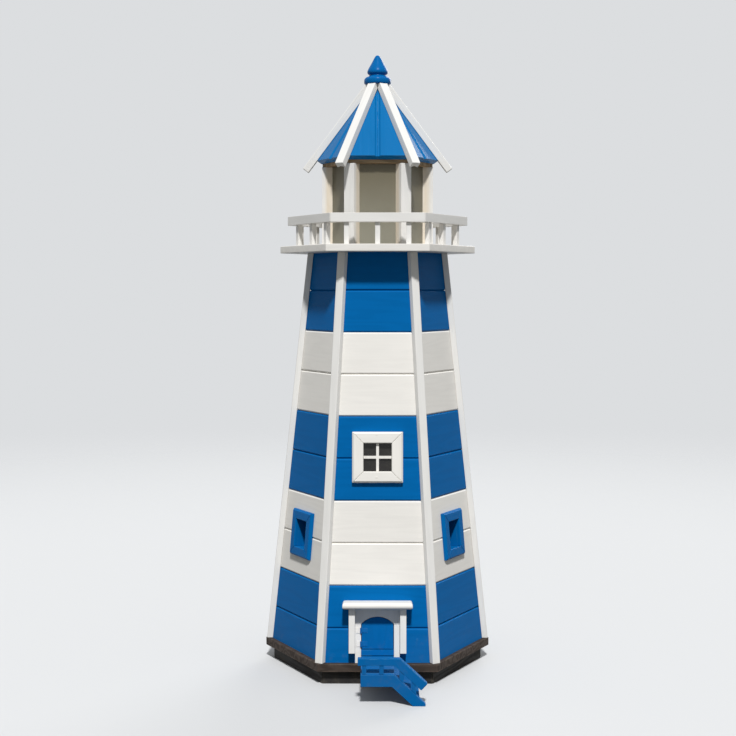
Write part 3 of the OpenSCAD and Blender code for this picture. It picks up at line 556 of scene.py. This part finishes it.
def new_piece(name, work, material, body, sharp=40):
    """Turns a bmesh into a smooth-shaded piece that moves with a body."""
    mesh = bpy.data.meshes.new(name)
    work.to_mesh(mesh)
    work.free()
    mesh.shade_smooth()
    mesh.set_sharp_from_angle(angle=math.radians(sharp))
    mesh.materials.append(material)
    piece = bpy.data.objects.new(name, mesh)
    scene.collection.objects.link(piece)
    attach(piece, body)
    return piece


def filled_screws(name, places, material):
    """Low rough domes of filler over sunk screws, painted over; places are in millimetres
    across, inwards and up the front wall."""
    draw = random.Random(len(name))
    work = bmesh.new()
    for across, inwards, upwards in places:
        rings = []
        for share, lift in filler_dome:
            ring = []
            for step in range(filler_steps):
                angle = math.tau * step / filler_steps
                reach = share * filler_radius * draw.uniform(0.9, 1.06)
                ring.append(work.verts.new(on_front_wall(
                    across * MM + reach * math.cos(angle),
                    inwards * MM - filler_proud * lift,
                    upwards * MM + reach * math.sin(angle))))
            rings.append(ring)
        for outer, inner in zip(rings, rings[1:]):
            for step in range(filler_steps):
                beside = (step + 1) % filler_steps
                work.faces.new((outer[step], outer[beside], inner[beside], inner[step]))
        work.faces.new(rings[-1])
        work.faces.new(rings[0][::-1])
    bmesh.ops.recalc_face_normals(work, faces=work.faces)
    new_piece(name, work, material, "tower")


filled_screws("board_screw_filler", board_screws, blue_wall)


# ---------------------------------------------------------------- corner battens
# Six planed softwood battens with a V cut down the back, laid over the board ends on each
# corner and brushed white from top to bottom.
batten_white = (0.80, 0.785, 0.755, 1)

upright_white = painted_material("upright_white", batten_white, direction="z")
for corner in range(6):
    finish_node(f"corner_batten_{corner}", upright_white, 1.6, 3)


# ---------------------------------------------------------------- inner frames
# Three rings of six bare planed softwood bars, at the foot, the middle and the top of the
# walls. The boards are screwed to them from outside.
bare_softwood = (0.60, 0.43, 0.25, 1)
bare_dark = (0.40, 0.25, 0.12, 1)

bare_wood = stained_wood_material("bare_wood", bare_softwood, bare_dark, plate_dust,
                                  0.1, 0.1, sides=True)
for ring in ("bottom_frame", "middle_frame", "top_frame"):
    finish_node(ring, bare_wood, 1.0)


# ---------------------------------------------------------------- front window
# A mitred white frame screwed over the opening, a glazing-bar cross let in flush behind
# its inner edge, and an acrylic pane whose near-black colour is painted shade for the
# inside.
window_height = base_top + 448 * MM
pane_shade_black = (0.017, 0.016, 0.015, 1)
pane_dust = (0.06, 0.055, 0.045, 1)
window_screws = [(-2, -13, 499.5), (-2, -13, 406)]


def mitred_frame_group():
    """Grain runs along each bar of a four-sided frame: upright where the point lies more
    to the side of the middle than above or below it."""
    group, take, give = new_group("mitred_frame", {
        "Vector": ("Vector", None), "Middle": ("Float", 0.5),
    }, {"Vector": "Vector"})
    part = place(group, "ShaderNodeSeparateXYZ", {0: take["Vector"]})
    up = maths(group, "SUBTRACT", part.outputs[2], take["Middle"])
    aside = maths(group, "GREATER_THAN", maths(group, "ABSOLUTE", part.outputs[0]),
                  maths(group, "ABSOLUTE", up))
    turned = place(group, "ShaderNodeCombineXYZ", {
        0: up, 1: part.outputs[1], 2: part.outputs[0],
    }).outputs[0]
    mixed = place(group, "ShaderNodeMix", {0: aside, 4: take["Vector"], 5: turned},
                  data_type="VECTOR").outputs[1]
    group.links.new(mixed, give["Vector"])
    return group


def framed_material(name, paint, middle, sides=False):
    """Brushed paint on a mitred frame whose middle is at that height."""
    material, tree = new_material(name)
    where, vector = grain_vector(tree, sides=sides)
    vector = use(tree, mitred_frame, {"Vector": vector, "Middle": middle})["Vector"]
    painted_shader(tree, vector, where, paint, soiling=0.1, wear=0.2)
    return material


# The pane's near-black colour is painted shade for the dark inside behind it; the dust film
# is real.
def dark_pane_material():
    material, tree = new_material("dark_pane")
    where = place(tree, "ShaderNodeTexCoord").outputs["Object"]
    film = noise(tree, where, 60.0, 5.0, 0.6)
    dusty = ramp(tree, film, 0.4, 0.8, 0.0, 0.25)
    colour = tint(tree, dusty, pane_shade_black, pane_dust)
    rough = ramp(tree, film, 0.3, 0.8, 0.08, 0.30)
    shader = place(tree, "ShaderNodeBsdfPrincipled", {
        "Base Color": colour, "Roughness": rough, "Specular IOR Level": 0.4,
    })
    place(tree, "ShaderNodeOutputMaterial", {"Surface": shader.outputs[0]})
    return material


mitred_frame = mitred_frame_group()
white_frame = framed_material("white_frame", paint_white, window_height)
dark_pane = dark_pane_material()
finish_node("front_window_frame", white_frame, 1.0, 3)
finish_node("front_window_muntins", white_frame, 0.6)
finish_node("front_window_pane", dark_pane, 0.3)
filled_screws("window_screw_filler", window_screws, white_frame)


# ---------------------------------------------------------------- side windows
# A mitred blue frame with wide bars on each front corner side, a boxed blue reveal behind
# it and a pane at the back of the reveal, coloured near black as painted shade.
side_window_height = base_top + 262 * MM

blue_frame = framed_material("blue_frame", paint_blue, side_window_height, sides=True)
finish_node("side_window_frames", blue_frame, 1.0, 3)
finish_node("side_window_reveals", blue_frame, 0.5)
finish_node("side_window_panes", dark_pane, 0.3)


# ---------------------------------------------------------------- porch
# A thin white panel with the arched opening, two square posts beside it and a canopy
# board with a rounded nose.
flat_white = painted_material("flat_white", paint_white, grain=0.35)

finish_node("arch_panel", upright_white, 0.5)
finish_node("porch_posts", upright_white, 1.2, 3)
finish_node("porch_canopy", flat_white, 1.0, 3)


# ---------------------------------------------------------------- door
# A blue board leaf with an arched head, over a blue sill. Its two small brass butt hinges
# were painted over with the door and the panel, and the brass shows where the paint rubs.
brass_colour = (0.52, 0.37, 0.14, 1)
brass_tarnish = (0.16, 0.11, 0.06, 1)
hinge_paint_edge = -38.3 * MM
hinge_arris = 0.4 * MM
scratch_spread = (900.0, 900.0, 60.0)
metal_roughness = 0.28
metal_relief = 0.05 * MM
metal_shine = 0.2


def dull_metal(name, bright=brass_colour, tarnish=brass_tarnish, paint=None):
    """Dull metal, bare or under brushed paint that is rubbed off along the edges. The white
    of the panel stops at the hinge knuckles, which are blue like the door."""
    material, tree = new_material(name)
    where = place(tree, "ShaderNodeTexCoord").outputs["Object"]
    cloud = ramp(tree, noise(tree, where, 260.0, 5.0, 0.65), 0.4, 0.7)
    scratch = noise(tree, stretch(tree, where, scratch_spread), 1.0)
    colour = tint(tree, cloud, bright, tarnish)
    rough = maths(tree, "MULTIPLY_ADD", cloud, 0.25, metal_roughness)
    metal = 1.0
    if paint:
        bare = use(tree, worn_edges, {
            "Place": where, "Reach": hinge_arris, "Wear": 0.4,
        })["Mask"]
        across = place(tree, "ShaderNodeSeparateXYZ", {0: where}).outputs[0]
        cut_in = ramp(tree, across, hinge_paint_edge - 0.2 * MM, hinge_paint_edge)
        colour = tint(tree, bare, tint(tree, cut_in, paint, paint_blue), colour)
        rough = place(tree, "ShaderNodeMix", {0: bare, 2: satin, 3: rough}).outputs[0]
        metal = bare
    bump = place(tree, "ShaderNodeBump", {
        "Height": scratch, "Distance": metal_relief, "Strength": 0.4,
    }).outputs[0]
    shader = place(tree, "ShaderNodeBsdfPrincipled", {
        "Base Color": colour, "Roughness": rough, "Metallic": metal, "Normal": bump,
        "Specular IOR Level": metal_shine,
    })
    place(tree, "ShaderNodeOutputMaterial", {"Surface": shader.outputs[0]})
    return material


blue_hinge = dull_metal("blue_hinge", paint=paint_blue)
white_hinge = dull_metal("white_hinge", paint=paint_white)
upright_blue = painted_material("upright_blue", paint_blue, direction="z", grain=0.5)
flat_blue = painted_material("flat_blue", paint_blue)
finish_node("door_leaf", upright_blue, 0.8, 3)
finish_node("door_sill", flat_blue, 0.8, 3)
finish_node("door_hinge_leaves", blue_hinge, 0.2)
finish_node("door_hinge_pins", white_hinge, 0.2)


# ---------------------------------------------------------------- stair
# Blue boards: two stringers, a landing, three treads across them, and a handrail on
# square balusters along the outer stringer.
across_blue = painted_material("across_blue", paint_blue, direction="y", soiling=0.4,
                               wear=0.8)
# The handrail's strong pale edges are partly real rubbing and partly a painted highlight
# along its top edge.
rail_blue = painted_material("rail_blue", paint_blue, wear=0.9)

finish_node("stair_stringers", flat_blue, 1.0, 3)
finish_node("stair_landing", across_blue, 1.0)
finish_node("stair_treads", across_blue, 1.0)
finish_node("stair_handrail", rail_blue, 1.2, 3)
finish_node("stair_balusters", upright_blue, 0.8)


# ---------------------------------------------------------------- gallery
# A white plywood deck held down on the tower's top frame by six brass screws, three square
# balusters to a side, and a handrail of six bars mitred at the corners.
ring_white = painted_material("ring_white", batten_white, sides=True)

finish_node("gallery_deck", flat_white, 1.4, 3)
finish_node("gallery_balusters", upright_white, 0.8)
finish_node("gallery_rail", ring_white, 1.4, 3)
finish_node("deck_screws", dull_metal("dull_brass"), 0.3)


# ---------------------------------------------------------------- lantern
# Square white posts with a groove on each side for the frosted acrylic panes, and short
# bare rails between the posts behind the panes' top edge.
# The top colour of the panes is painted shade under the eave; the foot colour is the lit
# acrylic.
acrylic_shaded_top = (0.185, 0.160, 0.100, 1)
acrylic_lit_foot = (0.35, 0.335, 0.265, 1)
acrylic_film = (0.19, 0.17, 0.115, 1)
pane_head = 1145 * MM
pane_foot = 966 * MM
# Painted shade: a warmer, darker white for the post sides that face the panes.
post_warm_shade = (0.76, 0.665, 0.53, 1)
post_face = 125.5 * MM
post_corner = 114 * MM
shade_streak_spread = (90.0, 90.0, 8.0)
acrylic_relief = 0.08 * MM


def frosted_material():
    """Frosted acrylic filmed with dirt; painted shade makes it darker and browner upwards.
    """
    material, tree = new_material("frosted_acrylic")
    where = place(tree, "ShaderNodeTexCoord").outputs["Object"]
    mottle = noise(tree, where, 900.0, 3.0, 0.6)
    film = noise(tree, where, 12.0, 4.0, 0.6)
    high = place(tree, "ShaderNodeSeparateXYZ", {0: where}).outputs[2]
    # Painted shade: the pane grows darker and browner from its foot up to its head.
    shade_fades_down = ramp(tree, high, pane_head, pane_foot)
    colour = tint(tree, shade_fades_down, acrylic_shaded_top, acrylic_lit_foot)
    colour = tint(tree, ramp(tree, film, 0.35, 0.8, 0.0, 0.3), colour, acrylic_film)
    rough = ramp(tree, film, 0.3, 0.8, 0.42, 0.55)
    bump = place(tree, "ShaderNodeBump", {
        "Height": mottle, "Distance": acrylic_relief, "Strength": 0.5,
    }).outputs[0]
    shader = place(tree, "ShaderNodeBsdfPrincipled", {
        "Base Color": colour, "Roughness": rough, "Transmission Weight": 0.3, "IOR": 1.49,
        "Normal": bump,
    })
    place(tree, "ShaderNodeOutputMaterial", {"Surface": shader.outputs[0]})
    return material


def post_material():
    """White paint with painted warm shade on the post sides beside the panes, in streaks.
    """
    material, tree = new_material("post_white")
    where, vector = grain_vector(tree, direction="z")
    reach = place(tree, "ShaderNodeVectorMath", {0: stretch(tree, where, (1, 1, 0))},
                  operation="LENGTH").outputs["Value"]
    # Painted shade: full on the post sides towards the panes, none on the outer face.
    corner = ramp(tree, reach, post_face, post_corner)
    shade_streaks = noise(tree, stretch(tree, where, shade_streak_spread), 1.0, 3.0, 0.6)
    corner = maths(tree, "MULTIPLY", corner, ramp(tree, shade_streaks, 0.3, 0.7, 0.7, 1.0))
    painted_shader(tree, vector, where, tint(tree, corner, batten_white, post_warm_shade))
    return material


frosted_acrylic = frosted_material()
finish_node("lantern_posts", post_material(), 1.2, 3)
finish_node("lantern_head_rails", bare_wood, 0.8)
finish_node("lantern_panes", frosted_acrylic, 0.3)


# ---------------------------------------------------------------- lamp
# A black moulded lamp holder on the deck, an opal bulb screwed into it, and the lead that
# runs down inside the rear wall through clips to a gland.
plastic_black = (0.02, 0.02, 0.021, 1)
sheath_black = (0.015, 0.015, 0.015, 1)
clip_white = (0.74, 0.74, 0.71, 1)
lamp_dust = (0.30, 0.28, 0.24, 1)
moulded_relief = 0.06 * MM
opal_white = (0.82, 0.81, 0.77, 1)
nickel = (0.62, 0.60, 0.56, 1)
nickel_tarnish = (0.36, 0.33, 0.29, 1)
bulb_cap_foot = 980.4 * MM
bulb_cap_top = 1010.5 * MM
bulb_neck_top = 1043.2 * MM
globe_middle = 1059.0 * MM
globe_radius = 30 * MM
cap_radius = 13.1 * MM
thread_pitch = 3.6 * MM
thread_depth = 0.9 * MM
thread_row = 0.45 * MM
thread_rows = 44
globe_steps = 24


def moulded_material(name, colour, roughness):
    """Finely textured moulded plastic or opal glass under a thin film of dust."""
    material, tree = new_material(name)
    where = place(tree, "ShaderNodeTexCoord").outputs["Object"]
    texture = noise(tree, where, 1400.0, 2.0)
    film = ramp(tree, noise(tree, where, 45.0, 4.0, 0.6), 0.4, 0.8)
    dusted = tint(tree, maths(tree, "MULTIPLY", film, 0.12), colour, lamp_dust)
    rough = maths(tree, "MULTIPLY_ADD", film, 0.18, roughness)
    bump = place(tree, "ShaderNodeBump", {
        "Height": texture, "Distance": moulded_relief, "Strength": 0.4,
    }).outputs[0]
    shader = place(tree, "ShaderNodeBsdfPrincipled", {
        "Base Color": dusted, "Roughness": rough, "Normal": bump,
    })
    place(tree, "ShaderNodeOutputMaterial", {"Surface": shader.outputs[0]})
    return material


holder_plastic = moulded_material("holder_plastic", plastic_black, 0.4)
lead_rubber = moulded_material("lead_rubber", sheath_black, 0.55)
clip_plastic = moulded_material("clip_plastic", clip_white, 0.4)
opal_glass = moulded_material("opal_glass", opal_white, 0.18)
bulb_plastic = moulded_material("bulb_plastic", clip_white, 0.35)
finish_node("lamp_holder", holder_plastic, 0.8)
finish_node("cable_gland", holder_plastic, 0.5)
finish_node("lead_clips", clip_plastic, 0.4)


def round_lead():
    """Smooths the eight-sided tube of the lead into a round one."""
    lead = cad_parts["lead"]
    for holder in lead.material_slots:
        holder.material = lead_rubber
    lead.modifiers.new("one skin", "WELD").merge_threshold = weld_reach
    flat = lead.modifiers.new("whole sides", "DECIMATE")
    flat.decimate_type = "DISSOLVE"
    flat.angle_limit = math.radians(2)
    smooth = lead.modifiers.new("round", "SUBSURF")
    smooth.levels = smooth.render_levels = 2


def turned(name, outline, material, body, slot, around=72, sharp=40, thread=None):
    """A solid turned about the upright axis from (radius, height) points in metres; thread
    cuts a screw thread between two heights."""
    work = bmesh.new()
    rings = []
    for radius, height in outline:
        ring = []
        for step in range(around if radius > 0 else 1):
            angle = math.tau * step / around
            reach = radius
            if thread and thread[0] < height < thread[1]:
                reach -= thread_depth * (0.5 + 0.5 * math.sin(
                    math.tau * height / thread_pitch - angle))
            ring.append(work.verts.new((reach * math.cos(angle), reach * math.sin(angle),
                                        height)))
        rings.append(ring)
    for below, above in zip(rings, rings[1:]):
        for step in range(around):
            beside = (step + 1) % around
            corners = [below[step % len(below)], below[beside % len(below)],
                       above[beside % len(above)], above[step % len(above)]]
            work.faces.new(list(dict.fromkeys(corners)))
    bmesh.ops.recalc_face_normals(work, faces=work.faces)
    return new_piece(name, work, material, body, sharp)


def lamp_bulb():
    """The threaded cap, the white neck and the opal globe of the bulb."""
    thread = [bulb_cap_foot + 7 * MM + row * thread_row for row in range(thread_rows)]
    cap = turned("bulb_cap", [
        (0, bulb_cap_foot), (4.6 * MM, bulb_cap_foot), (4.9 * MM, bulb_cap_foot + 1.6 * MM),
        (10.5 * MM, bulb_cap_foot + 4.4 * MM), (12.3 * MM, bulb_cap_foot + 5.6 * MM),
        *[(cap_radius, row) for row in thread],
        (12.4 * MM, bulb_cap_top - 2.4 * MM), (cap_radius, bulb_cap_top - 1.6 * MM),
        (cap_radius, bulb_cap_top), (0, bulb_cap_top),
    ], dull_metal("nickel_cap", nickel, nickel_tarnish), "tower", "brass", sharp=60,
        thread=(thread[2], thread[-3]))
    neck = turned("bulb_neck", [
        (0, bulb_cap_top), (13.8 * MM, bulb_cap_top), (14.2 * MM, bulb_cap_top + 0.7 * MM),
        (14.4 * MM, bulb_cap_top + 4 * MM), (16.2 * MM, bulb_cap_top + 9 * MM),
        (19.6 * MM, bulb_cap_top + 17 * MM), (22.8 * MM, bulb_cap_top + 25 * MM),
        (25.1 * MM, bulb_neck_top - 0.9 * MM), (25.3 * MM, bulb_neck_top - 0.3 * MM),
        (24.6 * MM, bulb_neck_top), (0, bulb_neck_top),
    ], bulb_plastic, "tower", "bulb_glass")
    start = math.asin((bulb_neck_top - globe_middle) / globe_radius)
    arc = [start + (math.pi / 2 - start) * step / globe_steps
           for step in range(globe_steps)]
    globe = turned("bulb_globe", [
        (0, bulb_neck_top + 0.1 * MM),
        *[(globe_radius * math.cos(angle), globe_middle + globe_radius * math.sin(angle))
          for angle in arc],
        (0, globe_middle + globe_radius),
    ], opal_glass, "tower", "bulb_glass")
    for piece in (cap, neck, globe):
        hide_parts("bulb")


round_lead()
lamp_bulb()


# ---------------------------------------------------------------- roof
# Twelve blue boards, two to a side with a V joint up the middle, white battens over the
# hips, a base board that rests on the lantern posts, and a bare block at the apex.
# A darker, greyer softwood colour for the roof base: painted shade for the eave's shadow it
# lies in.
eave_shaded_softwood = (0.40, 0.29, 0.18, 1)
roof_rise = 191 * MM
roof_run = 124 * MM
hip_run = 143.18 * MM
roof_lean = math.atan(roof_run / roof_rise)
hip_lean = math.atan(hip_run / roof_rise)

# The roof boards take the sky-tinted blue, a painted reflection of the sky on the slopes.
roof_paint = painted_material("roof_paint", roof_sky_tinted_blue, sides=True, direction="up_roof",
                              slope=roof_lean, soiling=0.0, sheen=gloss, shine=0.09)
hip_paint = painted_material("hip_paint", batten_white, sides=True, start=0.0,
                             direction="up_hip", slope=hip_lean, soiling=0.0)
# The roof base's darker wood colour is painted shade under the eave.
bare_board = stained_wood_material("bare_board", eave_shaded_softwood, bare_dark, plate_dust,
                                   0.1, 0.1)
finish_node("roof_boards", roof_paint, 0.8)
finish_node("roof_battens", hip_paint, 1.6, 3)
finish_node("roof_base", bare_board, 1.0)
finish_node("apex_block", bare_wood, 1.0)


# ---------------------------------------------------------------- finial
# A turned blue knob: a broad collar, a neck and a bud, on a dowel glued into the apex
# block. It has more gloss than the boards, because turned wood takes the paint smoothly.
collar_radius = 31 * MM
knob_height = 66 * MM
dowel_radius = 4 * MM
collar_shape = [
    (29 / 31, 0.0), (30 / 31, 0.012), (1.0, 0.045), (1.0, 0.13), (30.4 / 31, 0.165),
    (29.5 / 31, 0.19), (28 / 31, 0.214), (26 / 31, 0.235), (22 / 31, 0.26),
]
bud_shape = [
    (0.64, 0.275), (0.618, 0.298), (0.63, 0.325), (0.72, 0.355), (0.76, 0.40),
    (0.755, 0.45), (0.705, 0.51), (0.625, 0.58), (0.525, 0.66), (0.42, 0.75),
    (0.318, 0.84), (0.225, 0.92), (0.115, 0.985), (0.0, 1.0),
]


def flowing(points, steps=4):
    """Adds points between the given ones on one smooth curve."""
    line = []
    for at in range(len(points) - 1):
        before, first = points[max(at - 1, 0)], points[at]
        second, after = points[at + 1], points[min(at + 2, len(points) - 1)]
        for step in range(steps):
            t = step / steps
            line.append(tuple(
                0.5 * (2 * b + (c - a) * t + (2 * a - 5 * b + 4 * c - d) * t * t
                       + (3 * b - a - 3 * c + d) * t ** 3)
                for a, b, c, d in zip(before, first, second, after)))
    return line + [points[-1]]


def turned_finial():
    """The knob and its dowel in one turned piece, in the place of the CAD finial."""
    low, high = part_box("finial")
    seat = high[2] - knob_height
    outline = [(0, low[2]), (dowel_radius - 0.6 * MM, low[2]),
               (dowel_radius, low[2] + 0.8 * MM), (dowel_radius, seat)]
    outline += [(share * collar_radius, seat + up * knob_height)
                for share, up in collar_shape + flowing(bud_shape)]
    outline[-1] = (0, high[2])
    gloss_blue = painted_material("gloss_blue", paint_blue, direction="z", sheen=gloss,
                                  shine=0.07, soiling=0.0)
    knob = turned("turned_finial", outline, gloss_blue, "roof", "blue_paint", around=96)
    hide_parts("finial")


turned_finial()
